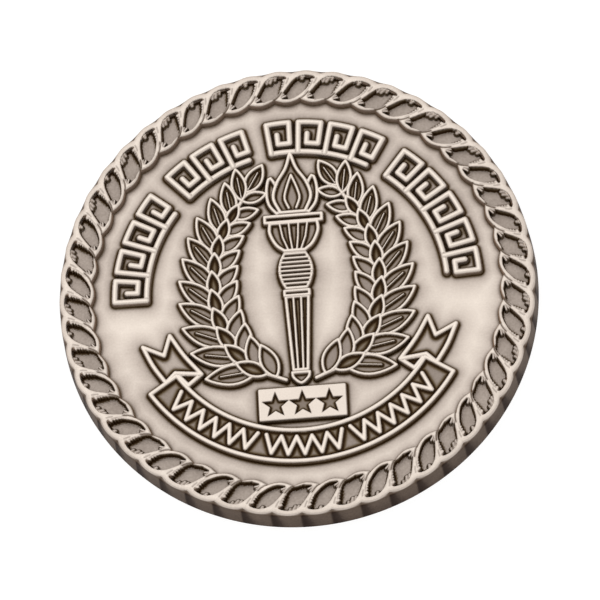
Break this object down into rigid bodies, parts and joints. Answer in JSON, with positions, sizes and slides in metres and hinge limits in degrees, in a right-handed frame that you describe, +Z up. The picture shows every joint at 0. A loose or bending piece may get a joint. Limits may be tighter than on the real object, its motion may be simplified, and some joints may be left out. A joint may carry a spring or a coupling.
{
  "type": "challenge coin",
  "caption": "Round struck metal coin with a rope border, a torch between laurel branches, a plaque and a banner, fluted on its obverse edge.",
  "frame": {"origin": "centre of the reverse rim's resting plane", "axes": "+Z up out of the obverse, +Y towards the top of the obverse design, +X to its right"},
  "size_m": [0.0444, 0.0444, 0.0031],
  "materials": {
    "raised_metal": "antique nickel plate, rubbed bright on the raised lines",
    "satin_field": "antique nickel plate, satin brushed, darker beside the relief",
    "sunk_floor": "antique nickel plate, sandblasted and left dark",
    "edge_metal": "antique nickel plate, dark, lightly polished"
  },
  "bodies": {
    "root": {"coin_blank": "satin_field", "rope_bed": "sunk_floor", "rope_lines": "raised_metal", "legend_fret_1": "raised_metal", "legend_fret_2": "raised_metal", "legend_fret_3": "raised_metal", "legend_fret_4": "raised_metal", "torch_flame": "raised_metal", "torch_bowl": "raised_metal", "torch_grip": "raised_metal", "torch_shaft": "raised_metal", "torch_finial": "raised_metal", "laurel_left": "raised_metal", "laurel_right": "raised_metal", "plaque": "raised_metal", "banner_panel": "sunk_floor", "banner_border": "raised_metal", "banner_zigzag_1": "raised_metal", "banner_zigzag_2": "raised_metal", "banner_zigzag_3": "raised_metal", "banner_tail_left": "raised_metal", "banner_tail_right": "raised_metal", "banner_fold_left": "sunk_floor", "banner_fold_right": "sunk_floor", "reverse_rim": "edge_metal", "reverse_ring": "raised_metal", "reverse_star": "raised_metal", "reverse_laurel_left": "raised_metal", "reverse_laurel_right": "raised_metal"}
  },
  "joints": []
}
